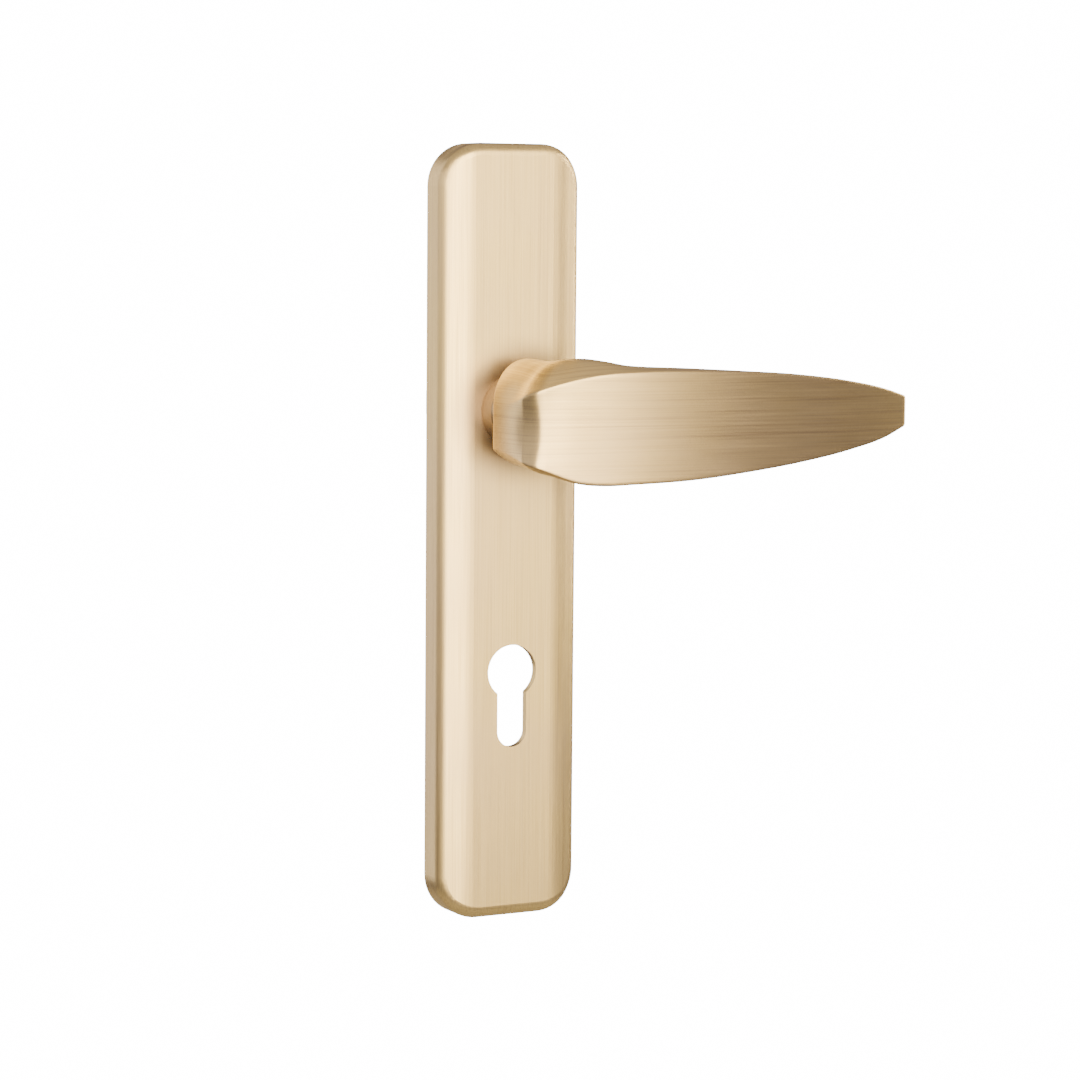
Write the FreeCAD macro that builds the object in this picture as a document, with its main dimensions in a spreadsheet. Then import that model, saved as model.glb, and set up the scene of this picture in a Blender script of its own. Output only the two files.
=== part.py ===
"""Sprung lever handle on a long backplate, with a cut-out for a euro-profile cylinder.

Frame: +Z up the plate, +X along the lever, -Y out of the door. The origin is on the lever's
axis, at the door's face, so the whole plate stands in front of Y = 0. Sizes are in
millimetres. A "depth" is a distance in front of the door's face, so it is -Y.
Angles in the cassette run from +X towards +Z.
"""
import FreeCAD
import Part
import Sketcher
import math
import os
import re

from FreeCAD import Placement, Rotation, Vector

DIMENSIONS = {
    # cover plate
    "plate_width": 50.2, "plate_top": 86.0, "plate_bottom": 166.0, "corner_radius": 14.0,
    "side_depth": 10.4, "front_depth": 13.2, "flat_width": 34.1, "edge_round": 4.0,
    "bevel_round": 18.0, "side_wall": 2.4, "front_wall": 2.6,
    # euro-profile cut-out
    "centre_distance": 85.0, "cut_radius": 8.75, "cut_slot": 5.25, "cut_height": 33.5,
    # base plate, its screws and the through-bolt posts
    "base_thick": 1.5, "base_gap": 0.4, "mechanism_hole": 18.5,
    "window_half": 15.5, "window_top": 72.0, "window_bottom": 114.0, "window_round": 3.0,
    "screw_side": 13.0, "screw_up": 47.0, "screw_down": 128.0, "boss_radius": 3.6,
    "screw_radius": 1.5, "screw_head": 2.9, "screw_length": 7.0, "screw_sink": 0.1,
    "socket_length": 2.2, "socket_width": 0.6, "socket_depth": 0.8,
    "post_up": 66.0, "post_down": 146.0, "post_radius": 4.0, "post_bore": 2.1,
    "post_front": 8.5, "post_behind": 20.0, "post_boss": 7.0, "post_bore_length": 22.0,
    "post_clearance": 0.3, "boss_front": 11.5,
    # neck bearing
    "shank_radius": 9.0, "running_gap": 0.05, "bush_radius": 10.4, "bush_front": 19.0,
    "bush_flange": 13.0, "bush_flange_thick": 1.6, "collar_radius": 11.8,
    "collar_front": 21.2, "collar_gap": 0.5, "collar_round": 1.3,
    # spring cassette
    "cup_radius": 17.0, "cup_wall": 1.0, "cup_front": 9.0, "cup_rear": 0.6, "cup_gap": 0.6,
    "ear_reach": 24.0, "ear_half": 5.5, "ear_thick": 1.2, "ear_screw": 21.3, "ear_head": 2.75,
    "ear_head_thick": 1.7, "lid_thick": 1.0,
    "lug_inner": 13.4, "lug_angle": 90.0, "lug_half": 8.0, "buffer_sweep": 5.0, "buffer_gap": 0.1,
    "cam_radius": 15.2, "cam_rear": 5.75, "cam_thick": 1.6, "cam_flat": 7.6,
    "notch_inner": 12.9, "travel": 45.0, "stop_gap": 0.5,
    "washer_thick": 0.6, "washer_radius": 14.6, "wave_radius": 11.6, "circlip_thick": 1.1,
    "circlip_radius": 11.0, "circlip_opening": 50.0, "groove_radius": 8.0, "shank_rear": 2.6,
    "spring_radius": 13.2, "wire_radius": 0.8, "spring_pitch": 1.68, "spring_turns": 1.5,
    "spring_rear": 2.42, "leg_bend": 1.0, "leg_lean": 4.3,
    "rear_leg_angle": 70.0, "front_leg_angle": 250.0, "leg_hole": 1.1,
    # spindle and grub screw
    "spindle_half": 3.95, "spindle_hole": 4.05, "spindle_front": 40.0, "spindle_behind": 45.0,
    "spindle_chamfer": 0.9, "sleeve_front": 40.5,
    "grub_radius": 3.0, "grub_depth": 27.0, "grub_length": 10.0, "hex_radius": 1.73, "hex_depth": 3.0,
    # lever
    "neck_back": 21.9, "flank": 12.5, "lever_reach": 128.5, "bend_radius": 6.5,
    "turn_side": 24.0, "turn_depth": 26.0, "turn_inner": 11.0,
    "front_near": 48.0, "front_mid": 53.5, "front_tip": 48.4, "back_tip": 41.2,
}

doc = FreeCAD.newDocument("lever_handle")
sheet = doc.addObject("Spreadsheet::Sheet", "dims")
for row, (alias, size) in enumerate(DIMENSIONS.items(), start=1):
    sheet.set(f"A{row}", alias)
    sheet.set(f"B{row}", str(size))
    sheet.setAlias(f"B{row}", alias)
doc.recompute()

# Turns a primitive's local Z out of the door, to -Y, and its local Y up, to +Z.
OUTWARD = Rotation(Vector(1, 0, 0), 90)


def formula(text):
    """A FreeCAD expression from plain arithmetic in the sheet's aliases."""
    return re.sub(r"[a-z]\w+", lambda word: "dims." + word.group(), text)


def value(text):
    return float(sheet.evalExpression(formula(text)))


def bind(obj, **formulas):
    """Bind properties to the sheet. X, Y and Z stand for the placement's base."""
    for name, text in formulas.items():
        path = f".Placement.Base.{name.lower()}" if name in ("X", "Y", "Z") else name
        obj.setExpression(path, formula(text))
    return obj


def rod(name, radius, length, depth, x="0", z="0"):
    """A round rod along Y that starts at a depth and runs out of the door."""
    obj = doc.addObject("Part::Cylinder", name)
    obj.Placement = Placement(Vector(), OUTWARD)
    return bind(obj, Radius=radius, Height=length, X=x, Y=f"-({depth})", Z=z)


def sector(name, radius, length, depth, start, sweep):
    """A pie-shaped slice of a rod, from an angle."""
    obj = rod(name, radius, length, depth)
    obj.Placement.Rotation = OUTWARD.multiply(Rotation(Vector(0, 0, 1), value(start)))
    return bind(obj, Angle=sweep)


def block(name, x, depth, z, wide, deep, tall):
    """A box whose corner is at x, z and a depth, and which reaches back by deep."""
    obj = doc.addObject("Part::Box", name)
    return bind(obj, Length=wide, Width=deep, Height=tall, X=x, Y=f"-({depth})", Z=z)


def join(name, *shapes):
    obj = doc.addObject("Part::MultiFuse", name)
    obj.Shapes = list(shapes)
    return obj


def minus(name, base, *tools):
    obj = doc.addObject("Part::Cut", name)
    obj.Base = base
    obj.Tool = tools[0] if len(tools) == 1 else join(name + "_tools", *tools)
    return obj


def both(name, *shapes):
    obj = doc.addObject("Part::MultiCommon", name)
    obj.Shapes = list(shapes)
    return obj


def ring(name, outer, inner, length, depth):
    outside = rod(name + "_outside", outer, length, depth)
    return minus(name, outside, rod(name + "_inside", inner, length, depth))


def polygon(body, name, role, corners):
    """A closed sketch on one of the body's own planes, each corner held at a pair of formulas."""
    sketch = body.newObject("Sketcher::SketchObject", name)
    plane = next(item for item in body.Origin.OriginFeatures if item.Role == role)
    sketch.AttachmentSupport = [(plane, "")]
    sketch.MapMode = "FlatFace"
    points = [Vector(value(x), value(y), 0) for x, y in corners]
    for here, there in zip(points, points[1:] + points[:1]):
        sketch.addGeometry(Part.LineSegment(here, there))
    for line, (x, y) in enumerate(corners):
        before = (line - 1) % len(corners)
        sketch.addConstraint(Sketcher.Constraint("Coincident", before, 2, line, 1))
        for kind, text in (("DistanceX", x), ("DistanceY", y)):
            held = sketch.addConstraint(Sketcher.Constraint(kind, -1, 1, line, 1, value(text)))
            sketch.setExpression(f"Constraints[{held}]", formula(text))
    return sketch


def dress(body, kind, name, base, test, **formulas):
    """A PartDesign fillet or chamfer on the edges of base that pass a test."""
    doc.recompute()
    feature = body.newObject("PartDesign::" + kind, name)
    edges = [f"Edge{number}" for number, edge in enumerate(base.Shape.Edges, start=1) if test(edge)]
    feature.Base = (base, edges)
    bind(feature, **formulas)
    doc.recompute()
    return feature


def along_y(edge):
    first, last = edge.Vertexes[0].Point, edge.Vertexes[-1].Point
    return abs(first.x - last.x) < 1e-6 and abs(first.z - last.z) < 1e-6


def slab(name, side, top, bottom, radius, depth):
    """A plate with round corners, from the door's face out to a depth."""
    body = doc.addObject("PartDesign::Body", name)
    corners = [(side, top), (f"-({side})", top), (f"-({side})", f"-({bottom})"), (side, f"-({bottom})")]
    outline = polygon(body, name + "_outline", "XZ_Plane", corners)
    pad = body.newObject("PartDesign::Pad", name + "_pad")
    pad.Profile = outline
    bind(pad, Length=depth)
    return body, dress(body, "Fillet", name + "_corners", pad, along_y, Radius=radius)


def bevelled(name, inset, wall):
    """The plate's outer form, or with an inset and a wall the hollow inside it."""
    side, flat = f"plate_width / 2 - ({inset})", f"flat_width / 2 - ({wall}) / 4"
    front, shoulder = f"front_depth - ({wall})", f"side_depth - ({wall})"
    body, block_form = slab(name, side, f"plate_top - ({inset})", f"plate_bottom - ({inset})",
                            f"corner_radius - ({inset})", front)
    for hand, sign in (("left", "-"), ("right", "")):
        corners = [(f"{sign}({flat})", f"-({front})"), (f"{sign}({side})", f"-({shoulder})"),
                   (f"{sign}({side})", f"-({front})")]
        wedge = polygon(body, f"{name}_{hand}_wedge", "XY_Plane", corners)
        bevel = body.newObject("PartDesign::Pocket", f"{name}_{hand}_bevel")
        bevel.Profile = wedge
        bevel.Type = "ThroughAll"
        bevel.Midplane = True
        doc.recompute()
    return body, bevel


def cut_out(name):
    """The euro-profile opening, from the door's face out through the plate."""
    low = "-(centre_distance - cut_radius + cut_height - cut_slot)"
    head = rod(name + "_head", "cut_radius", "front_depth", "0", z="-centre_distance")
    foot = rod(name + "_foot", "cut_slot", "front_depth", "0", z=low)
    body = block(name + "_body", "-cut_slot", "front_depth", low, "2 * cut_slot", "front_depth",
                 "cut_height - cut_radius - cut_slot")
    return join(name, head, foot, body)


SCREW_PLACES = [(f"{side} * screw_side", height)
                for side in (-1, 1) for height in ("screw_up", "-screw_down")]
POST_PLACES = {"upper": "post_up", "lower": "-post_down"}
EAR_PLACES = ("ear_screw", "-ear_screw")


def make_cover_plate():
    outer, last_bevel = bevelled("cover_form", "0", "0")
    flat, front = value("flat_width / 2"), value("front_depth")

    def on_crease(edge):
        ends = [vertex.Point for vertex in edge.Vertexes]
        return all(abs(abs(p.x) - flat) < 1e-3 and abs(p.y + front) < 1e-3 for p in ends) \
            and abs(ends[0].z - ends[-1].z) > 50

    crease = dress(outer, "Fillet", "cover_bevel_round", last_bevel, on_crease, Radius="bevel_round")

    def on_rim(edge):
        box = edge.BoundBox
        in_front = box.YMax < -value("side_depth") + 1e-3
        middle = edge.valueAt((edge.FirstParameter + edge.LastParameter) / 2)
        return in_front and edge.Length > 0.5 and outer_wall_distance(middle) < 1e-3

    dress(outer, "Fillet", "cover_edge_round", crease, on_rim, Radius="edge_round")
    hollow, _ = bevelled("cover_hollow", "side_wall", "front_wall")
    shell = minus("cover_shell", outer, hollow)
    bosses = [rod(f"cover_boss_{number}", "boss_radius", "boss_front - base_thick", "base_thick", x, z)
              for number, (x, z) in enumerate(SCREW_PLACES)]
    bosses += [rod(f"cover_{end}_boss", "post_boss", "boss_front - base_thick", "base_thick", z=z)
               for end, z in POST_PLACES.items()]
    holes = [rod(f"cover_pilot_{number}", "screw_radius", "screw_length", "screw_sink", x, z)
             for number, (x, z) in enumerate(SCREW_PLACES)]
    holes += [rod(f"cover_{end}_bore", "post_radius", "post_front", "0", z=z)
              for end, z in POST_PLACES.items()]
    holes += [rod("cover_neck_hole", "bush_radius", "front_depth", "0"), cut_out("cover_cut")]
    return minus("cover_plate", join("cover_solid", shell, *bosses), *holes)


def outer_wall_distance(point):
    """How far inside the plate's outline a point lies."""
    side, top = value("plate_width / 2"), value("plate_top")
    bottom, radius = value("plate_bottom"), value("corner_radius")
    middle, half = (top - bottom) / 2, (top + bottom) / 2
    across, along = abs(point.x) - (side - radius), abs(point.z - middle) - (half - radius)
    if across > 0 and along > 0:
        return abs(radius - math.hypot(across, along))
    return radius - max(across, along)


def make_base_plate():
    inset = "side_wall + base_gap"
    plate, _ = slab("base_form", f"plate_width / 2 - ({inset})", f"plate_top - ({inset})",
                    f"plate_bottom - ({inset})", f"corner_radius - ({inset})", "base_thick")
    window, _ = slab("base_window", "window_half", "-window_top", "window_bottom", "window_round",
                     "base_thick")
    holes = [rod("base_mechanism_hole", "mechanism_hole", "base_thick", "0"), window]
    for end, z in POST_PLACES.items():
        holes.append(rod(f"base_{end}_post_hole", "post_radius + post_clearance", "base_thick", "0", z=z))
    for number, z in enumerate(EAR_PLACES):
        holes.append(rod(f"base_ear_hole_{number}", "screw_radius", "base_thick", "0", z=z))
    for number, place in enumerate(SCREW_PLACES):
        holes.append(countersunk(f"base_sink_{number}", place, "base_thick"))
    return minus("base_plate", plate, *holes)


def countersunk(name, place, length):
    """A countersunk head and its shank, seen from behind, just under the door's face."""
    head = doc.addObject("Part::Cone", name + "_head")
    head.Placement = Placement(Vector(), OUTWARD)
    bind(head, Radius1="screw_head", Radius2="screw_radius", Height="screw_head - screw_radius",
         X=place[0], Y="-screw_sink", Z=place[1])
    mouth = rod(name + "_mouth", "screw_head", "screw_sink", "0", *place)
    shank = rod(name + "_shank", "screw_radius", length, "0", *place)
    return join(name, head, mouth, shank)


def make_base_plate_screws():
    screws = []
    for number, (x, z) in enumerate(SCREW_PLACES):
        name = f"plate_screw_{number}"
        head = doc.addObject("Part::Cone", name + "_head")
        head.Placement = Placement(Vector(), OUTWARD)
        bind(head, Radius1="screw_head", Radius2="screw_radius", Height="screw_head - screw_radius",
             X=x, Y="-screw_sink", Z=z)
        shank = rod(name + "_shank", "screw_radius", "screw_length", "screw_sink", x, z)
        cross = ("socket_length", "socket_width"), ("socket_width", "socket_length")
        slots = [block(f"{name}_slot_{turn}", f"{x} - {wide} / 2", "screw_sink + socket_depth",
                       f"{z} - {tall} / 2", wide, "socket_depth", tall)
                 for turn, (wide, tall) in enumerate(cross)]
        screws.append(minus(name, join(name + "_blank", head, shank), *slots))
    return join("base_plate_screws", *screws)


def make_post(end, z):
    sleeve = rod(f"{end}_post_outside", "post_radius", "post_front + post_behind", "-post_behind", z=z)
    bore = rod(f"{end}_post_bore", "post_bore", "post_bore_length", "-post_behind", z=z)
    return minus(f"{end}_fixing_post", sleeve, bore)


def make_neck_bush():
    flange_rear = "front_depth - front_wall - bush_flange_thick"
    inner = "shank_radius + running_gap"
    flange = rod("bush_flange_disc", "bush_flange", "bush_flange_thick", flange_rear)
    sleeve = rod("bush_sleeve", "bush_radius", f"bush_front - ({flange_rear})", flange_rear)
    bore = rod("bush_bore", inner, f"bush_front - ({flange_rear})", flange_rear)
    return minus("neck_bush", join("bush_blank", flange, sleeve), bore)


def make_neck_collar():
    body = doc.addObject("PartDesign::Body", "collar_form")
    outer, front, back = "collar_radius", "collar_front", "front_depth"
    inner, lip = "bush_radius", "shank_radius + collar_gap"
    corners = [(inner, f"-({back})"), (outer, f"-({back})"), (outer, f"-({front})"), (lip, f"-({front})"),
               (lip, "-bush_front"), (inner, "-bush_front")]
    profile = polygon(body, "collar_profile", "XY_Plane", corners)
    turned = body.newObject("PartDesign::Revolution", "collar_turned")
    turned.Profile = profile
    turned.ReferenceAxis = (profile, ["V_Axis"])
    turned.Angle = 360.0
    dress(body, "Fillet", "collar_round_edge", turned,
          lambda edge: edge.BoundBox.YMax < -value(front) + 1e-3 and edge.BoundBox.XMax > value(outer) - 1e-3,
          Radius="collar_round")
    body.Label = "neck_collar"
    return body


def make_spring_housing():
    height = "cup_front - cup_rear"
    wall = rod("cup_outside", "cup_radius", height, "cup_rear")
    ears = [block(f"cup_ear_{number}", "-ear_half", "base_thick + ear_thick", low, "2 * ear_half",
                  "ear_thick", "ear_reach - cup_radius + 2 * cup_wall")
            for number, low in enumerate(("cup_radius - 2 * cup_wall", "-ear_reach"))]
    inside = rod("cup_inside", "cup_radius - cup_wall", f"{height} - cup_wall", "cup_rear")
    mouth = rod("cup_mouth", "shank_radius + cup_gap", height, "cup_rear")
    holes = [rod(f"cup_ear_hole_{number}", "screw_radius + buffer_gap", "ear_thick", "base_thick", z=z)
             for number, z in enumerate(EAR_PLACES)]
    cup = minus("cup", join("cup_blank", wall, *ears), inside, mouth, *holes)
    lug = minus("cup_lug", sector("cup_lug_slice", "cup_radius - cup_wall / 2", "cam_thick", "cam_rear",
                                  "lug_angle - lug_half", "2 * lug_half"),
                rod("cup_lug_inside", "lug_inner", "cam_thick", "cam_rear"))
    return join("spring_housing", cup, lug)


def make_housing_cover():
    lid = rod("lid_disc", "cup_radius - cup_wall", "lid_thick", "cup_rear")
    mouth = rod("lid_mouth", "shank_radius + cup_gap", "lid_thick", "cup_rear")
    leg = leg_hole("lid_leg_hole", "rear_leg_angle + leg_lean", "lid_thick", "cup_rear")
    return minus("housing_cover", lid, mouth, leg)


def leg_hole(name, angle, length, depth):
    turn = math.radians(value(angle))
    reach = value("spring_radius")
    return rod(name, "leg_hole", length, depth, str(round(reach * math.cos(turn), 6)),
               str(round(reach * math.sin(turn), 6)))


def make_housing_screws():
    screws = []
    for number, z in enumerate(EAR_PLACES):
        name = f"ear_screw_{number}"
        face = "base_thick + ear_thick"
        head = rod(name + "_head", "ear_head", "ear_head_thick", face, z=z)
        shank = rod(name + "_shank", "screw_radius", f"{face} - screw_sink", "screw_sink", z=z)
        slot = block(name + "_slot", "-ear_head", f"{face} + ear_head_thick", f"{z} - 0.35", "2 * ear_head",
                     "socket_depth", "0.7")
        screws.append(minus(name, join(name + "_blank", head, shank), slot))
    return join("housing_screws", *screws)


def make_buffer(name, start):
    slice_form = sector(name + "_slice", "cup_radius - cup_wall - buffer_gap", "cam_thick", "cam_rear", start,
                        "buffer_sweep")
    return minus(name, slice_form, rod(name + "_inside", "lug_inner", "cam_thick", "cam_rear"))


def shank_section(name, length, depth):
    """The shank's round with its two flats."""
    flats = block(name + "_flats", "-cam_flat", f"{depth} + {length}", "-shank_radius", "2 * cam_flat",
                  length, "2 * shank_radius")
    return both(name, rod(name + "_round", "shank_radius", length, depth), flats)


def make_cam_plate():
    sweep = "travel + 2 * lug_half + 2 * buffer_sweep + 2 * stop_gap"
    start = "lug_angle - lug_half - buffer_sweep - stop_gap"
    disc = rod("cam_disc", "cam_radius", "cam_thick", "cam_rear")
    notch_slice = sector("cam_notch_slice", "cam_radius + 1", "cam_thick", "cam_rear", start, sweep)
    notch = minus("cam_notch", notch_slice, rod("cam_notch_inside", "notch_inner", "cam_thick", "cam_rear"))
    return minus("cam_plate", disc, notch, shank_section("cam_hole", "cam_thick", "cam_rear"),
                 leg_hole("cam_leg_hole", "front_leg_angle - leg_lean", "cam_thick", "cam_rear"))


def make_circlip():
    rear = "cam_rear - washer_thick - circlip_thick"
    band = ring("circlip_band", "circlip_radius", "groove_radius", "circlip_thick", rear)
    opening = sector("circlip_gap", "circlip_radius + 1", "circlip_thick", rear, "270 - circlip_opening / 2",
                     "circlip_opening")
    return minus("circlip", band, opening)


def make_return_spring():
    helix = doc.addObject("Part::Helix", "spring_path")
    helix.LocalCoord = "Left-handed"
    start = Rotation(Vector(0, 0, 1), value("rear_leg_angle"))
    helix.Placement = Placement(Vector(0, -value("spring_rear"), 0), OUTWARD.multiply(start))
    bind(helix, Pitch="spring_pitch", Height="spring_pitch * spring_turns", Radius="spring_radius")
    doc.recompute()
    wire = doc.addObject("Part::Feature", "spring_wire")
    coil = helix.Shape.Edges
    first, last = coil[0], coil[-1]
    rear_leg = spring_leg(first.valueAt(first.FirstParameter), -first.tangentAt(first.FirstParameter),
                          Vector(0, 1, 0), -value("cup_rear"))
    front_leg = spring_leg(last.valueAt(last.LastParameter), last.tangentAt(last.LastParameter),
                           Vector(0, -1, 0), -value("cam_rear + cam_thick"))
    path = Part.Wire(Part.__sortEdges__(rear_leg + coil + front_leg))
    start, straight = rear_leg[1].Vertexes[-1].Point, Vector(0, -1, 0)
    section = Part.Wire([Part.makeCircle(value("wire_radius"), start, straight)])
    wire = doc.addObject("Part::Feature", "return_spring")
    wire.Shape = path.makePipeShell([section], True, False)
    return wire


def spring_leg(start, along, axial, end_y):
    """A bend from the coil's end to the axial direction, and the straight leg after it."""
    radius = value("leg_bend")
    turn = along.getAngle(axial)
    side = (axial - along * along.dot(axial)).normalize()

    def bend(angle):
        return start + along * (radius * math.sin(angle)) + side * (radius * (1 - math.cos(angle)))

    foot = bend(turn)
    tip = Vector(foot.x, end_y, foot.z)
    return [Part.Arc(start, bend(turn / 2), foot).toShape(), Part.makeLine(foot, tip)]


def make_spindle():
    body = doc.addObject("PartDesign::Body", "spindle_form")
    half = "spindle_half"
    corners = [(half, half), (f"-{half}", half), (f"-{half}", f"-{half}"), (half, f"-{half}")]
    section = polygon(body, "spindle_section", "XZ_Plane", corners)
    bar = body.newObject("PartDesign::Pad", "spindle_bar")
    bar.Profile = section
    bind(bar, Length="spindle_front + spindle_behind")
    dress(body, "Chamfer", "spindle_ends", bar, lambda edge: not along_y(edge), Size="spindle_chamfer")
    bind(body, Y="spindle_behind")
    body.Label = "spindle"
    return body


def make_grub_screw():
    blank = doc.addObject("Part::Cylinder", "grub_blank")
    bottom = "-(spindle_half + grub_length)"
    bind(blank, Radius="grub_radius", Height="grub_length", Y="-grub_depth", Z=bottom)
    socket = doc.addObject("Part::Prism", "grub_socket")
    socket.Polygon = 6
    bind(socket, Circumradius="hex_radius", Height="hex_depth", Y="-grub_depth", Z=bottom)
    return minus("grub_screw", blank, socket)


# The lever's cross-sections, from the neck round the elbow to the tip. Each has where it stands (a depth,
# an angle about the turn's axis or a distance along X), the heights of the strip's two edges, how far the
# top leans back from the strip (0 leaves no crease), and the heights of the three handles that round the
# top's front, the top's back and the bottom.
STATIONS = [
    ("depth", 21.9, 1.6, -11.4, 0.00, 22.8, 24.4, -20.4),
    ("angle", 0, 2.2, -11.8, 0.04, 22.3, 24.6, -20.6),
    ("angle", 12, 3.3, -13.0, 0.22, 20.6, 25.0, -20.8),
    ("angle", 24, 5.6, -14.5, 0.60, 18.8, 26.2, -21.1),
    ("angle", 34, 8.2, -16.4, 0.90, 18.0, 27.6, -21.7),
    ("angle", 50, 11.6, -20.8, 1.00, 18.2, 26.4, -23.0),
    ("angle", 70, 13.3, -21.9, 1.00, 17.6, 23.2, -23.2),
    ("angle", 90, 13.8, -21.8, 1.00, 16.5, 19.9, -22.6),
    ("along", 45, 13.9, -20.9, 1.00, 15.3, 17.1, -21.5),
    ("along", 65, 13.3, -18.9, 1.00, 14.2, 14.2, -19.4),
    ("along", 85, 12.1, -16.3, 1.00, 12.7, 12.7, -16.8),
    ("along", 105, 9.8, -12.8, 1.00, 10.1, 10.1, -13.1),
    ("along", 120, 6.9, -9.0, 1.00, 7.1, 7.1, -9.3),
    ("along", 128.5, 4.4, -5.4, 1.00, 4.6, 4.6, -5.6),
]
TOP_SHARE, BOTTOM_SHARE = 0.5, 0.35
LOFT_ANGLES = (20, 28, 31, 37, 40, 44)


class LeverPath:
    """The strip's line in plan: up the flank, round the bend and along the front's arc to the tip."""

    def __init__(self):
        self.flank, self.start = value("flank"), value("neck_back")
        self.axis = Vector(value("turn_side"), -value("turn_depth"), 0)
        reach, near = value("lever_reach"), value("front_near")
        middle = Vector((reach - self.flank) / 2, -value("front_mid"), 0)
        tip = Vector(reach, -value("front_tip"), 0)
        front = Part.Arc(Vector(-self.flank, -near, 0), middle, tip).toShape()
        self.centre, self.radius = front.Curve.Center, front.Curve.Radius
        self.bend = value("bend_radius")
        across = -self.flank + self.bend - self.centre.x
        drop = math.sqrt((self.radius - self.bend) ** 2 - across ** 2)
        self.bend_centre = Vector(self.centre.x + across, self.centre.y - drop, 0)
        self.end_angle = math.atan2(-drop, across) % math.tau
        self.straight = -self.bend_centre.y - self.start
        self.curved = self.bend * (self.end_angle - math.pi)

    def point(self, run):
        """The point at a distance along the line from the neck's back."""
        if run < self.straight:
            return Vector(-self.flank, -self.start - run, 0)
        run -= self.straight
        if run < self.curved:
            turn = math.pi + run / self.bend
            return self.bend_centre + Vector(math.cos(turn), math.sin(turn), 0) * self.bend
        turn = self.end_angle + (run - self.curved) / self.radius
        return self.centre + Vector(math.cos(turn), math.sin(turn), 0) * self.radius

    def run_to(self, kind, place):
        """How far along the line a station stands, by halving."""
        passed = {
            "depth": lambda p: -p.y >= place,
            "angle": lambda p: math.atan2(self.axis.y - p.y, self.axis.x - p.x) >= math.radians(place),
            "along": lambda p: p.x >= place and p.y < self.axis.y,
        }[kind]
        low, high = 0.0, 2 * value("lever_reach")
        for _ in range(50):
            middle = (low + high) / 2
            low, high = (low, middle) if passed(self.point(middle)) else (middle, high)
        return high if kind != "depth" else 0.0


def smooth(runs, levels, run):
    """A cubic through the stations' levels, with each slope set by its two neighbours."""
    steps = [(b - a) for a, b in zip(runs, runs[1:])]
    rates = [(b - a) / step for a, b, step in zip(levels, levels[1:], steps)]
    slopes = [rates[0]]
    for before, after, rate, following in zip(steps, steps[1:], rates, rates[1:]):
        slopes.append((rate * after + following * before) / (before + after))
    slopes.append(rates[-1])
    part = max(index for index, start in enumerate(runs[:-1]) if run >= start - 1e-9)
    step, share = steps[part], (run - runs[part]) / steps[part]
    cube, square = share ** 3, share ** 2
    return ((2 * cube - 3 * square + 1) * levels[part] + (cube - 2 * square + share) * step * slopes[part]
            + (3 * square - 2 * cube) * levels[part + 1] + (cube - square) * step * slopes[part + 1])


def lever_section(path, run, levels):
    """One closed section at a distance along the path: the strip's edge, the top and the bottom."""
    top, bottom, lean, front_pull, back_pull, low_pull = levels
    start = path.point(run)
    to_axis = path.axis - start
    if start.y > path.axis.y:
        inward, depth = Vector(1, 0, 0), path.axis.x + path.flank - value("turn_inner")
    elif start.x < path.axis.x:
        inward, depth = Vector(to_axis).normalize(), to_axis.Length - value("turn_inner")
    else:
        share = (start.x - path.axis.x) / (value("lever_reach") - path.axis.x)
        near, far = value("turn_depth + turn_inner"), value("back_tip")
        inward, depth = Vector(0, 1, 0), -start.y - (near + share * (far - near))

    def place(distance, height):
        return start + inward * distance + Vector(0, 0, height)

    high, low, waist = place(0, top), place(0, bottom), place(depth, (top + bottom) / 2)
    upper, lower = Part.BezierCurve(), Part.BezierCurve()
    upper.setPoles([high, place(lean * TOP_SHARE * depth, front_pull), place(depth, back_pull), waist])
    lower.setPoles([waist, place(depth, low_pull), place(BOTTOM_SHARE * depth, low_pull), low])
    return Part.Wire([Part.makeLine(low, high), upper.toShape(), lower.toShape()])


def make_lever():
    path = LeverPath()
    runs = [path.run_to(*station[:2]) for station in STATIONS]
    columns = [[station[column] for station in STATIONS] for column in range(2, 8)]
    stops = {round(run, 3) for run in runs} | {round(path.run_to("angle", turn), 3) for turn in LOFT_ANGLES}
    sections = [lever_section(path, run, [smooth(runs, levels, run) for levels in columns])
                for run in sorted(stops)]
    form = doc.addObject("Part::Feature", "lever_form")
    form.Shape = Part.makeLoft(sections, True, False)
    bore = rod("lever_bore", "shank_radius", "sleeve_front", "0")
    grub = doc.addObject("Part::Cylinder", "lever_grub_hole")
    bind(grub, Radius="grub_radius", Height="plate_width", Y="-grub_depth", Z="-plate_width")
    return minus("lever", form, bore, grub)


def make_drive_sleeve():
    """The turned sleeve in the lever's neck: bearing surface, flats for the cam and square bore."""
    blank = rod("sleeve_blank", "shank_radius", "sleeve_front - shank_rear", "shank_rear")
    flats = [block(f"sleeve_flat_{side}", x, "cam_rear + cam_thick", "-shank_radius", "shank_radius",
                   "cam_rear + cam_thick - shank_rear", "2 * shank_radius")
             for side, x in (("left", "-cam_flat - shank_radius"), ("right", "cam_flat"))]
    groove = ring("sleeve_groove", "shank_radius + 1", "groove_radius", "circlip_thick",
                  "cam_rear - washer_thick - circlip_thick")
    square = block("sleeve_square", "-spindle_hole", "sleeve_front", "-spindle_hole", "2 * spindle_hole",
                   "sleeve_front", "2 * spindle_hole")
    grub = doc.addObject("Part::Cylinder", "sleeve_grub_hole")
    bind(grub, Radius="grub_radius", Height="shank_radius", Y="-grub_depth", Z="-shank_radius - 1")
    return minus("drive_sleeve", blank, *flats, groove, square, grub)


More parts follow.
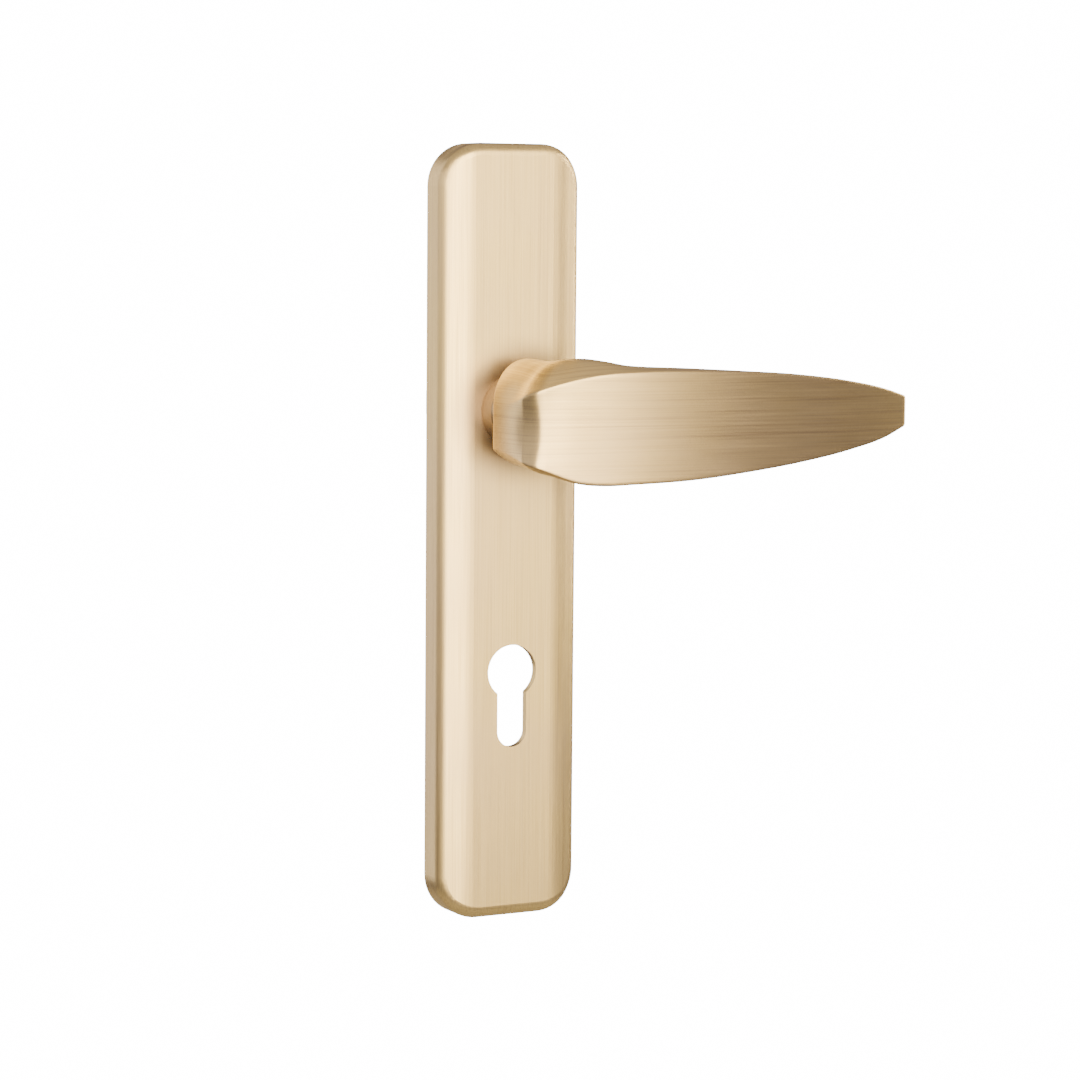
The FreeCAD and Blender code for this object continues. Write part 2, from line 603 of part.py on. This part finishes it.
PARTS = {
    "cover_plate": make_cover_plate(),
    "base_plate": make_base_plate(),
    "base_plate_screws": make_base_plate_screws(),
    "neck_bush": make_neck_bush(),
    "neck_collar": make_neck_collar(),
    "spring_housing": make_spring_housing(),
    "housing_cover": make_housing_cover(),
    "housing_screws": make_housing_screws(),
    "rest_stop_buffer": make_buffer("rest_stop_buffer", "lug_angle - lug_half - buffer_sweep"),
    "travel_stop_buffer": make_buffer("travel_stop_buffer", "lug_angle + lug_half"),
    "thrust_washer": ring("thrust_washer", "washer_radius", "shank_radius + buffer_gap", "washer_thick",
                          "cup_front - cup_wall - washer_thick"),
    "cam_plate": make_cam_plate(),
    "wave_washer": ring("wave_washer", "wave_radius", "shank_radius + buffer_gap", "washer_thick",
                        "cam_rear - washer_thick"),
    "circlip": make_circlip(),
    "return_spring": make_return_spring(),
    "spindle": make_spindle(),
    "grub_screw": make_grub_screw(),
    "lever": make_lever(),
    "drive_sleeve": make_drive_sleeve(),
}
for end, z in POST_PLACES.items():
    PARTS[f"{end}_fixing_post"] = make_post(end, z)

doc.recompute()
for obj in doc.Objects:
    if {"Invalid", "Error"} & set(obj.State):
        raise RuntimeError(f"{obj.Name} failed: {obj.State}")
for node, obj in PARTS.items():
    obj.Label = node
    if obj.Shape.isNull() or not obj.Shape.isValid():
        raise RuntimeError(f"{node} has no valid shape")
os.makedirs("parts", exist_ok=True)
for node, obj in PARTS.items():
    obj.Shape.exportStep(f"parts/{node}.step")
    print(f"{node}: {len(obj.Shape.Solids)} solids, {obj.Shape.Volume:.1f} mm3")
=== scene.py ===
"""Looks for the lever handle on its long backplate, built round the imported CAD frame."""

import math

import bpy
import numpy as np
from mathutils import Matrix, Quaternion, Vector


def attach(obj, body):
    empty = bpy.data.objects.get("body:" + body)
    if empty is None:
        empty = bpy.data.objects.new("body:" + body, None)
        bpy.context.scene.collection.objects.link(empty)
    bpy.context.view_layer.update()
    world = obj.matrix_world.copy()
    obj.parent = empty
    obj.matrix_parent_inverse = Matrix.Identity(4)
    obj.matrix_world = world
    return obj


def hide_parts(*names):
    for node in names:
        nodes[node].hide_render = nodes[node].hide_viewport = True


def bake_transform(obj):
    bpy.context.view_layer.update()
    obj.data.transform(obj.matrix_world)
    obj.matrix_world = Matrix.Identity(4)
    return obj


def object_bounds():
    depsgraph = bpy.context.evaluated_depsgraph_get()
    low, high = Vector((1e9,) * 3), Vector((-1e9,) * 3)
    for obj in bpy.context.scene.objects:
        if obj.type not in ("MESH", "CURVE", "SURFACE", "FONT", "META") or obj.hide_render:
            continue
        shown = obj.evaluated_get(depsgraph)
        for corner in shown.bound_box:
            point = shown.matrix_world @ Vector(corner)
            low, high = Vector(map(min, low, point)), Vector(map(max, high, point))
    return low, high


MM = 0.001
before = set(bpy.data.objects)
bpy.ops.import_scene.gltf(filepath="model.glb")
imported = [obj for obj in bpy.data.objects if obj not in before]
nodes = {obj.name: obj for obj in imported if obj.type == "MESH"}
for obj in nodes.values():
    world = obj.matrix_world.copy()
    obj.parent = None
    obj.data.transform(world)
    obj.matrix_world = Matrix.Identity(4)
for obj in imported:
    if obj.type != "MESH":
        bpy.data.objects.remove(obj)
cad_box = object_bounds()


# ---- materials -------------------------------------------------------------------------------

class Shader:
    """A Principled material and the few nodes that the finishes here are made of."""

    def __init__(self, name, place="Object", **sockets):
        self.material = bpy.data.materials.new(name)
        self.material.use_nodes = True
        self.tree = self.material.node_tree
        self.bsdf = self.tree.nodes["Principled BSDF"]
        self.place = self.tree.nodes.new("ShaderNodeTexCoord").outputs[place]
        for socket, level in sockets.items():
            self.bsdf.inputs[socket.replace("_", " ")].default_value = level

    def node(self, kind, inputs=(), **settings):
        made = self.tree.nodes.new("ShaderNode" + kind)
        for key, setting in settings.items():
            setattr(made, key, setting)
        for key, source in dict(inputs).items():
            if isinstance(source, bpy.types.NodeSocket):
                self.tree.links.new(source, made.inputs[key])
            else:
                made.inputs[key].default_value = source
        return made

    def noise(self, per_metre, detail, roughness=0.55):
        """Noise with its cells per metre along each of the place's coordinates."""
        mapped = self.node("Mapping", {"Vector": self.place, "Scale": per_metre}).outputs["Vector"]
        made = self.node("TexNoise", {"Vector": mapped, "Scale": 1.0, "Detail": detail,
                                      "Roughness": roughness})
        return made.outputs["Fac"]

    def spread(self, source, low, high, start=0.35, end=0.65):
        """Maps a texture's usual span to a range of values."""
        return self.node("MapRange", {"Value": source, "From Min": start, "From Max": end,
                                      "To Min": low, "To Max": high}).outputs["Result"]

    def ramp(self, source, stops):
        made = self.node("ValToRGB", {"Fac": source})
        ramp = made.color_ramp
        while len(ramp.elements) < len(stops):
            ramp.elements.new(0.5)
        for element, (at, colour) in zip(ramp.elements, stops):
            element.position = at
            element.color = (*colour, 1.0)
        return made.outputs["Color"]

    def mix(self, factor, first, second):
        made = self.tree.nodes.new("ShaderNodeMix")
        made.data_type = "RGBA"
        for key, source in (("Factor", factor), ("A", first), ("B", second)):
            socket = next(item for item in made.inputs if item.name == key and item.enabled)
            if isinstance(source, bpy.types.NodeSocket):
                self.tree.links.new(source, socket)
            else:
                socket.default_value = source if key == "Factor" else (*source, 1.0)
        return next(item for item in made.outputs if item.enabled)

    def bump(self, height, distance):
        return self.node("Bump", {"Height": height, "Distance": distance, "Strength": 1.0}).outputs["Normal"]

    def set(self, socket, source):
        self.tree.links.new(source, self.bsdf.inputs[socket])


# Brass as three tones, from the dark scratches to the light ones; the collar's tones are darkened all over as
# painted shade.
# GREYED is where the finish has clouded. The patina colour is the dark finish left in a few wide streaks, and
# round the neck it is painted shade. BROADER and WIDEST are the broad scratches' and the streaks' cells to
# one of a fine scratch's.
BRASS = ((0.52, 0.405, 0.16), (0.62, 0.49, 0.20), (0.67, 0.54, 0.235))
LEVER_BRASS = ((0.44, 0.335, 0.14), (0.56, 0.435, 0.185), (0.61, 0.485, 0.215))
# The collar's brass is darkened all over as painted shade, for the shade the lever's neck throws on it.
SHADED_COLLAR_BRASS = ((0.17, 0.125, 0.075), (0.21, 0.155, 0.09), (0.25, 0.185, 0.105))
GREYED, PATINA_AND_SHADE = (0.54, 0.42, 0.25), (0.28, 0.21, 0.13)
SCRATCH_DEPTH, SCRATCH_SHARE, CLOUD_SHARE = 0.000004, 0.26, 0.52
BROADER, WIDEST = 0.45, 0.16
# The painted shade round the neck fades from full at the inner distance from the lever's axis to none at the
# outer, in metres.
NECK_SHADE_INNER, NECK_SHADE_OUTER = 0.0115, 0.026


def brushed(name, colours, grain, roughness, place="Object", turn=0.0, veined=0.42, neck_shade=0.0, **tangent):
    """Brushed metal: fine scratches along one direction, with a slow drift of tone over the piece.

    grain is the scratches' cells per metre along the three coordinates of place. turn is how far the
    tangent stands from square across the scratches, in whole turns. veined is how dark the few wide
    streaks get, and neck_shade is how dark the painted shade gets round the lever's axis. The rest sets the
    Tangent node.
    """
    look = Shader(name, place, Metallic=1.0, Roughness=roughness, Anisotropic=0.6,
                  Anisotropic_Rotation=turn, Coat_Weight=0.05, Coat_Roughness=0.25)
    fine = look.noise(grain, detail=2.5, roughness=0.6)
    broad = look.noise([BROADER * cells for cells in grain], detail=2.0)
    veins = look.noise([WIDEST * cells for cells in grain], detail=3.0, roughness=0.7)
    cloud = look.noise((14.0, 14.0, 14.0), detail=3.0)
    dark, middle, light = colours
    tone = look.ramp(broad, [(0.25, dark), (0.5, middle), (0.75, light)])
    tone = look.mix(look.spread(fine, 0.0, SCRATCH_SHARE), tone, dark)
    tone = look.mix(look.spread(cloud, 0.0, CLOUD_SHARE), tone, GREYED)
    tone = look.mix(look.spread(veins, 0.0, veined, start=0.54, end=0.74), tone, PATINA_AND_SHADE)
    # Painted shade: the finish is darkened towards the patina colour in a ring round the lever's axis,
    # standing in for the neck's shadow and reflection on the plate.
    if neck_shade:
        across = look.node("VectorMath", {0: look.place, 1: (1.0, 0.0, 1.0)}, operation="MULTIPLY")
        away = look.node("VectorMath", {0: across.outputs["Vector"]}, operation="LENGTH").outputs["Value"]
        ring = look.node("MapRange", {"Value": away, "From Min": NECK_SHADE_INNER, "From Max": NECK_SHADE_OUTER,
                                      "To Min": neck_shade, "To Max": 0.0}, interpolation_type="SMOOTHSTEP")
        tone = look.mix(ring.outputs["Result"], tone, PATINA_AND_SHADE)
    look.set("Base Color", tone)
    look.set("Roughness", look.spread(fine, roughness - 0.04, roughness + 0.05))
    look.set("Normal", look.bump(fine, SCRATCH_DEPTH))
    look.set("Tangent", look.node("Tangent", **tangent).outputs["Tangent"])
    return look.material


# The plate gets the painted shade round the neck.
plate_brass = brushed("brushed_brass_upright", BRASS, (5200.0, 5200.0, 40.0), 0.38, neck_shade=1.0,
                      direction_type="RADIAL", axis="Z")
# The collar's darker brass is painted shade.
collar_brass = brushed("turned_brass", SHADED_COLLAR_BRASS, (300.0, 5200.0, 300.0), 0.36,
                       direction_type="RADIAL", axis="Z")
lever_brass = brushed("brushed_brass_along", LEVER_BRASS, (26.0, 3600.0, 1.0), 0.36, place="UV", turn=0.25,
                      veined=0.70, direction_type="UV_MAP", uv_map="grain")


def plated(name, colour, roughness, cells=90.0):
    """Zinc-plated or drawn steel, with a faint crystalline mottle."""
    look = Shader(name, Metallic=1.0, Roughness=roughness)
    cloud = look.noise((cells, cells, cells), detail=5.0, roughness=0.65)
    shade = tuple(0.86 * part for part in colour)
    look.set("Base Color", look.ramp(cloud, [(0.32, shade), (0.62, colour)]))
    look.set("Roughness", look.spread(cloud, roughness - 0.08, roughness + 0.10))
    look.set("Normal", look.bump(look.noise((2400.0, 2400.0, 2400.0), detail=2.0), 0.000006))
    return look.material


def moulded(name, colour, roughness):
    """Natural nylon: slightly translucent and waxy, with a fine mould texture."""
    look = Shader(name, Roughness=roughness, Subsurface_Weight=0.15, Subsurface_Radius=(0.004, 0.003, 0.002))
    cloud = look.noise((140.0, 140.0, 140.0), detail=3.0)
    shade = tuple(0.88 * part for part in colour)
    look.set("Base Color", look.ramp(cloud, [(0.3, shade), (0.7, colour)]))
    look.set("Normal", look.bump(look.noise((3000.0, 3000.0, 3000.0), detail=2.0), 0.00001))
    return look.material


zinc = plated("zinc_plate", (0.70, 0.69, 0.64), 0.38)
drive_steel = plated("drawn_zinc_bar", (0.62, 0.61, 0.57), 0.30, cells=220.0)
spring_steel = plated("spring_steel", (0.36, 0.36, 0.37), 0.28, cells=300.0)
black_steel = plated("black_oxide", (0.045, 0.045, 0.05), 0.42, cells=400.0)
nylon = moulded("natural_nylon", (0.82, 0.80, 0.72), 0.48)

FINISHES = {
    "cover_plate": plate_brass, "neck_collar": collar_brass, "lever": lever_brass,
    "base_plate": zinc, "base_plate_screws": zinc, "spring_housing": zinc, "housing_cover": zinc,
    "housing_screws": zinc, "cam_plate": zinc, "upper_fixing_post": drive_steel,
    "lower_fixing_post": drive_steel, "spindle": drive_steel, "drive_sleeve": drive_steel,
    "return_spring": spring_steel, "wave_washer": spring_steel, "circlip": spring_steel,
    "grub_screw": black_steel, "neck_bush": nylon, "thrust_washer": nylon, "rest_stop_buffer": nylon,
    "travel_stop_buffer": nylon,
}
SMOOTH_ANGLE = math.radians(28)


def polish(mesh, finish):
    mesh.materials.clear()
    mesh.materials.append(finish)
    mesh.shade_smooth()
    mesh.set_sharp_from_angle(angle=SMOOTH_ANGLE)


for name, finish in FINISHES.items():
    polish(nodes[name].data, finish)


# ---- the lever -------------------------------------------------------------------------------
# A strip runs from the neck's back along its flank, round the bend and along the front, and sections
# behind it make the body. Millimetres: X along the grip, Y into the door, Z up.

FLANK, NECK_BACK, BEND, REACH = 12.5, 21.9, 6.5, 128.5
AXIS = np.array((24.0, -26.0))
INNER, FRONT_NEAR, FRONT_MID, FRONT_TIP, BACK_TIP = 11.0, 48.0, 53.5, 48.4, 41.2
# Each section: where it stands, the strip's top and bottom edges, how far the top leans back, and the
# heights of its curves' handles at the top's front, the top's back and the bottom. It stands by its
# depth, by its angle round AXIS, or by how far along the grip it is.
SECTIONS = [
    ("depth", 21.9, 1.6, -11.4, 0.00, 22.8, 24.4, -20.4),
    ("angle", 0, 2.2, -11.8, 0.04, 22.3, 24.6, -20.6),
    ("angle", 12, 3.3, -13.0, 0.22, 20.6, 25.0, -20.8),
    ("angle", 24, 5.6, -14.5, 0.60, 18.8, 26.2, -21.1),
    ("angle", 34, 8.2, -16.4, 0.90, 18.0, 27.6, -21.7),
    ("angle", 50, 11.6, -20.8, 1.00, 18.2, 26.4, -23.0),
    ("angle", 70, 13.3, -21.9, 1.00, 17.6, 23.2, -23.2),
    ("angle", 90, 13.8, -21.8, 1.00, 16.5, 19.9, -22.6),
    ("along", 45, 13.9, -20.9, 1.00, 15.3, 17.1, -21.5),
    ("along", 65, 13.3, -18.9, 1.00, 14.2, 14.2, -19.4),
    ("along", 85, 12.1, -16.3, 1.00, 12.7, 12.7, -16.8),
    ("along", 105, 9.8, -12.8, 1.00, 10.1, 10.1, -13.1),
    ("along", 120, 6.9, -9.0, 1.00, 7.1, 7.1, -9.3),
    ("along", 128.5, 4.4, -5.4, 1.00, 4.6, 4.6, -5.6),
]
# How far into the section the first handle stands, above and below, as a share of its depth.
TOP_SHARE, BOTTOM_SHARE = 0.5, 0.35
# The creases are softened along an outline in even steps.
CREASE_SOFTNESS, STEP = 0.45, 0.08
STRIP_SAMPLES, BODY_SAMPLES, STRIP_POINTS, BODY_POINTS, CROWDING = 300, 500, 26, 44, 1.6
# The ends are rounded, and the strip is slightly hollow where it folds round the bend.
NECK_ROUND, TIP_ROUND = 1.4, 1.1
FOLD_HOLLOW, FOLD_REACH = 1.8, 7.0
BORE, BORE_FRONT = 9.0, 40.5
GRUB_RADIUS, GRUB_DEPTH, GRUB_LOW, GRUB_HIGH = 3.0, 27.0, -34.0, -10.5
# The mesh's rings stand NECK_STEP apart on the neck, FOLD_STEP round the bend and GRIP_STEP after it.
# On a rounded end they stand at the fractions in END_STEPS, closest where it turns fastest.
NECK_STEP, FOLD_STEP, GRIP_STEP, FOLD_MARGIN = 0.7, 0.28, 0.8, 1.0
FIRST_NECK_RING, TIP_GAP = 2.2, 0.4
END_STEPS = np.array((0.0, 0.03, 0.1, 0.22, 0.38, 0.58, 0.8, 1.0))
# How far along the grain the bore and the tip's middle are, where no section gives it.
MOUTH_RUN, FLOOR_RUN, FLOOR_MIDDLE_RUN, PAST_TIP = -4.0, -30.0, -34.0, 4.0


def circle_through(a, b, c):
    """The centre and radius of the circle through three points."""
    matrix = 2 * np.array((b - a, c - a))
    centre = np.linalg.solve(matrix, (b @ b - a @ a, c @ c - a @ a))
    return centre, np.linalg.norm(a - centre)


ARC_CENTRE, ARC = circle_through(np.array((-FLANK, -FRONT_NEAR)),
                                 np.array(((REACH - FLANK) / 2, -FRONT_MID)),
                                 np.array((REACH, -FRONT_TIP)))
BEND_X = BEND - FLANK
BEND_Y = ARC_CENTRE[1] - math.sqrt((ARC - BEND) ** 2 - (BEND_X - ARC_CENTRE[0]) ** 2)
ARC_START = math.atan2(BEND_Y - ARC_CENTRE[1], BEND_X - ARC_CENTRE[0]) % math.tau
STRAIGHT = -BEND_Y - NECK_BACK
CURVED = BEND * (ARC_START - math.pi)


def path_point(run):
    """The strip's line in plan at a distance from the neck's back."""
    if run < STRAIGHT:
        return np.array((-FLANK, -NECK_BACK - run))
    run -= STRAIGHT
    if run < CURVED:
        turn = math.pi + run / BEND
        return np.array((BEND_X + BEND * math.cos(turn), BEND_Y + BEND * math.sin(turn)))
    turn = ARC_START + (run - CURVED) / ARC
    return ARC_CENTRE + ARC * np.array((math.cos(turn), math.sin(turn)))


def run_to(kind, place):
    """How far along the line a section stands, by halving."""
    if kind == "depth":
        return 0.0
    low, high = 0.0, 2 * REACH
    for _ in range(50):
        middle = (low + high) / 2
        x, y = path_point(middle)
        if kind == "angle":
            passed = math.atan2(AXIS[1] - y, AXIS[0] - x) >= math.radians(place)
        else:
            passed = x >= place and y < AXIS[1]
        low, high = (low, middle) if passed else (middle, high)
    return high


RUNS = np.array([run_to(*section[:2]) for section in SECTIONS])
LEVELS = np.array([section[2:] for section in SECTIONS])


def levels_at(run):
    """A cubic through the sections' levels, with each slope set by its two neighbours."""
    steps = np.diff(RUNS)[:, None]
    rates = np.diff(LEVELS, axis=0) / steps
    inner = (rates[:-1] * steps[1:] + rates[1:] * steps[:-1]) / (steps[:-1] + steps[1:])
    slopes = np.vstack((rates[:1], inner, rates[-1:]))
    part = min(max(int(np.searchsorted(RUNS, run, side="right")) - 1, 0), len(steps) - 1)
    step = steps[part, 0]
    share = (run - RUNS[part]) / step
    cube, square = share ** 3, share ** 2
    return ((2 * cube - 3 * square + 1) * LEVELS[part] + (cube - 2 * square + share) * step * slopes[part]
            + (3 * square - 2 * cube) * LEVELS[part + 1] + (cube - square) * step * slopes[part + 1])


def bezier(poles, count):
    """Points on a cubic curve, from its first pole to its last."""
    t = np.linspace(0.0, 1.0, count)[:, None]
    a, b, c, d = (np.array(pole) for pole in poles)
    return (1 - t) ** 3 * a + 3 * (1 - t) ** 2 * t * b + 3 * (1 - t) * t ** 2 * c + t ** 3 * d


def spaced(count, crowd):
    """Fractions from 0 to 1, closer together at the start, at the end or at both."""
    t = np.linspace(0.0, 1.0, count, endpoint=False)
    if crowd == "start":
        return t ** CROWDING
    if crowd == "end":
        return 1 - (1 - t) ** CROWDING
    return (1 - np.cos(math.pi * t)) / 2


def behind(start):
    """Which way the section behind a point of the strip lies in plan, and how deep it is."""
    to_axis = AXIS - start
    if start[1] > AXIS[1]:
        return np.array((1.0, 0.0)), AXIS[0] + FLANK - INNER
    if start[0] < AXIS[0]:
        away = np.linalg.norm(to_axis)
        return to_axis / away, away - INNER
    share = (start[0] - AXIS[0]) / (REACH - AXIS[0])
    near = INNER - AXIS[1]
    return np.array((0.0, 1.0)), -start[1] - (near + share * (BACK_TIP - near))


def softened(closed, along):
    """The closed outline at even steps with its creases rounded, and where those steps are."""
    whole = along[-1]
    even = np.linspace(0.0, whole, int(round(whole / STEP)), endpoint=False)
    points = np.column_stack([np.interp(even, along, closed[:, k]) for k in (0, 1)])
    reach = int(3 * CREASE_SOFTNESS / STEP)
    weights = np.exp(-0.5 * (np.arange(-reach, reach + 1) * STEP / CREASE_SOFTNESS) ** 2)
    weights /= weights.sum()
    wrapped = np.vstack((points[-reach:], points, points[:reach]))
    return np.column_stack([np.convolve(wrapped[:, k], weights, mode="valid") for k in (0, 1)]), even


def section_ring(run):
    """A closed section as points across and up, the grain's coordinate there, its place and its direction."""
    top, bottom, lean, front_pull, back_pull, low_pull = levels_at(run)
    start = path_point(run)
    inward, depth = behind(start)
    waist = (top + bottom) / 2
    hollow = FOLD_HOLLOW * math.exp(-((run - STRAIGHT - CURVED / 2) / FOLD_REACH) ** 2)
    curves = [
        bezier(((0, bottom), (hollow, (2 * bottom + top) / 3), (hollow, (bottom + 2 * top) / 3), (0, top)),
               STRIP_SAMPLES),
        bezier(((0, top), (lean * TOP_SHARE * depth, front_pull), (depth, back_pull), (depth, waist)),
               BODY_SAMPLES),
        bezier(((depth, waist), (depth, low_pull), (BOTTOM_SHARE * depth, low_pull), (0, bottom)),
               BODY_SAMPLES),
    ]
    strip, over, under = (np.linalg.norm(np.diff(curve, axis=0), axis=1).sum() for curve in curves)
    outline = np.vstack([curve[:-1] for curve in curves])
    closed = np.vstack((outline, outline[:1]))
    along = np.concatenate(([0.0], np.cumsum(np.linalg.norm(np.diff(closed, axis=0), axis=1))))
    whole = along[-1]
    rounded, even = softened(closed, along)
    marks = np.concatenate((strip * spaced(STRIP_POINTS, "both"), strip + over * spaced(BODY_POINTS, "start"),
                            strip + over + under * spaced(BODY_POINTS, "end")))
    flat = np.column_stack([np.interp(marks, even, rounded[:, k], period=whole) for k in (0, 1)])
    grain = np.where(marks < whole - under, bottom + marks, bottom + marks - whole)
    return flat, grain, start, inward


def end_inset(left, radius):
    """How far a rounded end stands in at a distance from it."""
    return radius - math.sqrt(max(radius ** 2 - (radius - left) ** 2, 0.0)) if left < radius else 0.0


def ring_runs():
    """How far along the line each of the mesh's rings stands."""
    total = RUNS[-1]
    fold_start, fold_end = STRAIGHT - FOLD_MARGIN, STRAIGHT + CURVED + FOLD_MARGIN
    return np.concatenate((END_STEPS * NECK_ROUND, np.arange(FIRST_NECK_RING, fold_start, NECK_STEP),
                           np.arange(fold_start, fold_end, FOLD_STEP),
                           np.arange(fold_end, total - TIP_ROUND - TIP_GAP, GRIP_STEP),
                           (total - END_STEPS * TIP_ROUND)[::-1]))


def outer_rings():
    """The lever's outside as rings of points, and the grain's two coordinates at each."""
    total = float(RUNS[-1])
    rings, grains = [], []
    for run in ring_runs():
        flat, grain, start, inward = section_ring(float(run))
        inset = max(end_inset(float(run), NECK_ROUND), end_inset(total - float(run), TIP_ROUND))
        low, high = flat.min(axis=0), flat.max(axis=0)
        middle, half = (low + high) / 2, (high - low) / 2
        flat = middle + (flat - middle) * (half - inset) / half
        rings.append([(*(start + inward * across), height) for across, height in flat])
        grains.append([(run, level) for level in grain])
    return rings, grains


def lever_mesh():
    """The outside, the neck's back face and the bore, closed at the bore's floor and at the tip."""
    rings, grains = outer_rings()
    around = len(rings[0])
    turns = [math.atan2(z, x) for x, _, z in rings[0]]
    mouth = [(BORE * math.cos(turn), -NECK_BACK, BORE * math.sin(turn)) for turn in turns]
    bore_floor = [(x, -BORE_FRONT, z) for x, _, z in mouth]
    rings = [bore_floor, mouth] + rings
    grains = [[(FLOOR_RUN, 0.0)] * around, [(MOUTH_RUN, level) for _, level in grains[0]]] + grains
    tip = np.mean(rings[-1], axis=0)
    points = [point for ring in rings for point in ring] + [(0.0, -BORE_FRONT, 0.0), tuple(tip)]
    uvs = [uv for ring in grains for uv in ring]
    uvs += [(FLOOR_MIDDLE_RUN, 0.0), (grains[-1][0][0] + PAST_TIP, float(tip[2]))]
    faces = []
    for base in range(0, (len(rings) - 1) * around, around):
        for k in range(around):
            after = (k + 1) % around
            faces.append((base + k, base + after, base + around + after, base + around + k))
    floor_middle, tip_middle, last_ring = len(points) - 2, len(points) - 1, (len(rings) - 1) * around
    for k in range(around):
        after = (k + 1) % around
        faces.append((floor_middle, after, k))
        faces.append((tip_middle, last_ring + k, last_ring + after))
    mesh = bpy.data.meshes.new("lever_skin")
    mesh.from_pydata([tuple(MM * level for level in point) for point in points], [], faces)
    layer = mesh.uv_layers.new(name="grain")
    for loop in mesh.loops:
        u, v = uvs[loop.vertex_index]
        layer.data[loop.index].uv = (MM * u, MM * v)
    return mesh


def drilled(obj, radius, low, high, x, y):
    """Cuts a vertical round hole through the piece, between two heights."""
    bpy.ops.mesh.primitive_cylinder_add(vertices=48, radius=radius * MM, depth=(high - low) * MM,
                                        location=(x * MM, y * MM, (low + high) / 2 * MM))
    drill = bpy.context.object
    cut = obj.modifiers.new("grub_hole", "BOOLEAN")
    cut.operation, cut.solver, cut.object = "DIFFERENCE", "EXACT", drill
    bpy.context.view_layer.update()
    result = bpy.data.meshes.new_from_object(obj.evaluated_get(bpy.context.evaluated_depsgraph_get()))
    obj.modifiers.clear()
    bpy.data.objects.remove(drill)
    obj.data = result


lever = bpy.data.objects.new("lever_skin", lever_mesh())
bpy.context.scene.collection.objects.link(lever)
drilled(lever, GRUB_RADIUS, GRUB_LOW, GRUB_HIGH, 0.0, -GRUB_DEPTH)
polish(lever.data, lever_brass)
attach(lever, "handle")
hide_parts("lever")


# ---- the return spring -----------------------------------------------------------------------
# It turns from the plate at its rear leg to the handle at its front leg. Millimetres from the door.

spring = bpy.data.objects.new("return_spring_coil", nodes["return_spring"].data.copy())
spring.matrix_world = nodes["return_spring"].matrix_world.copy()
bpy.context.scene.collection.objects.link(spring)
spring.data.polygons.foreach_set("use_smooth", [True] * len(spring.data.polygons))
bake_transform(spring)
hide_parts("return_spring")


# ---- stage -----------------------------------------------------------------------------------

def aim(obj, place, target):
    obj.location = place
    obj.rotation_mode = "QUATERNION"
    obj.rotation_quaternion = (Vector(target) - Vector(place)).to_track_quat("-Z", "Y")


def direction(azimuth, elevation):
    """A unit vector from the object: azimuth 0 is straight out of the door, and positive is to the right."""
    a, e = math.radians(azimuth), math.radians(elevation)
    return Vector((math.sin(a) * math.cos(e), -math.cos(a) * math.cos(e), math.sin(e)))


AIM = Vector((0.0132, -0.0069, -0.0430))
CAMERA_AZIMUTH, CAMERA_ELEVATION, CAMERA_ROLL = -27.713, 5.475, 0.439
CAMERA_DISTANCE, LENS = 1.0789, 109.6

back = direction(CAMERA_AZIMUTH, CAMERA_ELEVATION)
camera_data = bpy.data.cameras.new("camera")
camera_data.lens = LENS
camera_data.sensor_width = 36.0
camera_data.clip_start, camera_data.clip_end = 0.05, 30.0
camera = bpy.data.objects.new("camera", camera_data)
bpy.context.scene.collection.objects.link(camera)
camera.location = AIM + back * CAMERA_DISTANCE
camera.rotation_mode = "QUATERNION"
roll = Quaternion((0.0, 0.0, 1.0), math.radians(CAMERA_ROLL))
camera.rotation_quaternion = back.to_track_quat("Z", "Y") @ roll
bpy.context.scene.camera = camera


def softbox(name, azimuth, elevation, distance, width, height, power, colour):
    light = bpy.data.lights.new(name, "AREA")
    light.shape = "RECTANGLE"
    light.size, light.size_y = width, height
    light.energy, light.color = power, colour
    lamp = bpy.data.objects.new(name, light)
    bpy.context.scene.collection.objects.link(lamp)
    aim(lamp, AIM + direction(azimuth, elevation) * distance, AIM)


WARM, NEUTRAL, COOL = (1.0, 0.82, 0.59), (1.0, 0.86, 0.74), (0.74, 0.67, 1.0)
softbox("front_box", -11, 14.5, 1.6, 1.80, 1.85, 149, WARM)
softbox("left_back_box", -152, 8, 1.8, 0.8, 1.8, 13, NEUTRAL)
softbox("left_fill", -90, 14, 1.8, 3.0, 1.1, 15, NEUTRAL)
softbox("right_box", 77, 16, 1.7, 0.26, 1.4, 27, WARM)
softbox("top_box", -10, 86, 1.6, 3.0, 3.0, 20, WARM)

# A white room: plain white where the camera sees it, and dimmer as a light.
SEEN_WHITE, ROOM_LIGHT = 16.0, 0.24
world = bpy.data.worlds.new("studio")
world.use_nodes = True
bpy.context.scene.world = world
room = world.node_tree
background = room.nodes["Background"]
background.inputs["Color"].default_value = (*COOL, 1.0)
background.inputs["Strength"].default_value = ROOM_LIGHT
seen = room.nodes.new("ShaderNodeBackground")
seen.inputs["Strength"].default_value = SEEN_WHITE
seen.inputs["Color"].default_value = (1.0, 1.0, 1.0, 1.0)
paths = room.nodes.new("ShaderNodeLightPath")
either = room.nodes.new("ShaderNodeMixShader")
room.links.new(paths.outputs["Is Camera Ray"], either.inputs["Fac"])
room.links.new(background.outputs["Background"], either.inputs[1])
room.links.new(seen.outputs["Background"], either.inputs[2])
room.links.new(either.outputs["Shader"], room.nodes["World Output"].inputs["Surface"])

FLOOR_DROP, FLOOR_RADIUS, FLOOR_THICKNESS, FLOOR_MIDDLE = 0.16, 0.30, 0.004, 0.05
bpy.ops.mesh.primitive_cylinder_add(vertices=128, radius=FLOOR_RADIUS, depth=FLOOR_THICKNESS,
                                    location=(AIM.x, FLOOR_MIDDLE, cad_box[0].z - FLOOR_DROP))
floor = bpy.context.object
floor.name = "floor"
paper = Shader("floor_paper", Roughness=0.9)
mottle = paper.noise((2.0, 2.0, 2.0), detail=4.0)
paper.set("Base Color", paper.ramp(mottle, [(0.3, (0.28, 0.28, 0.28)), (0.7, (0.32, 0.32, 0.32))]))
floor.data.materials.append(paper.material)
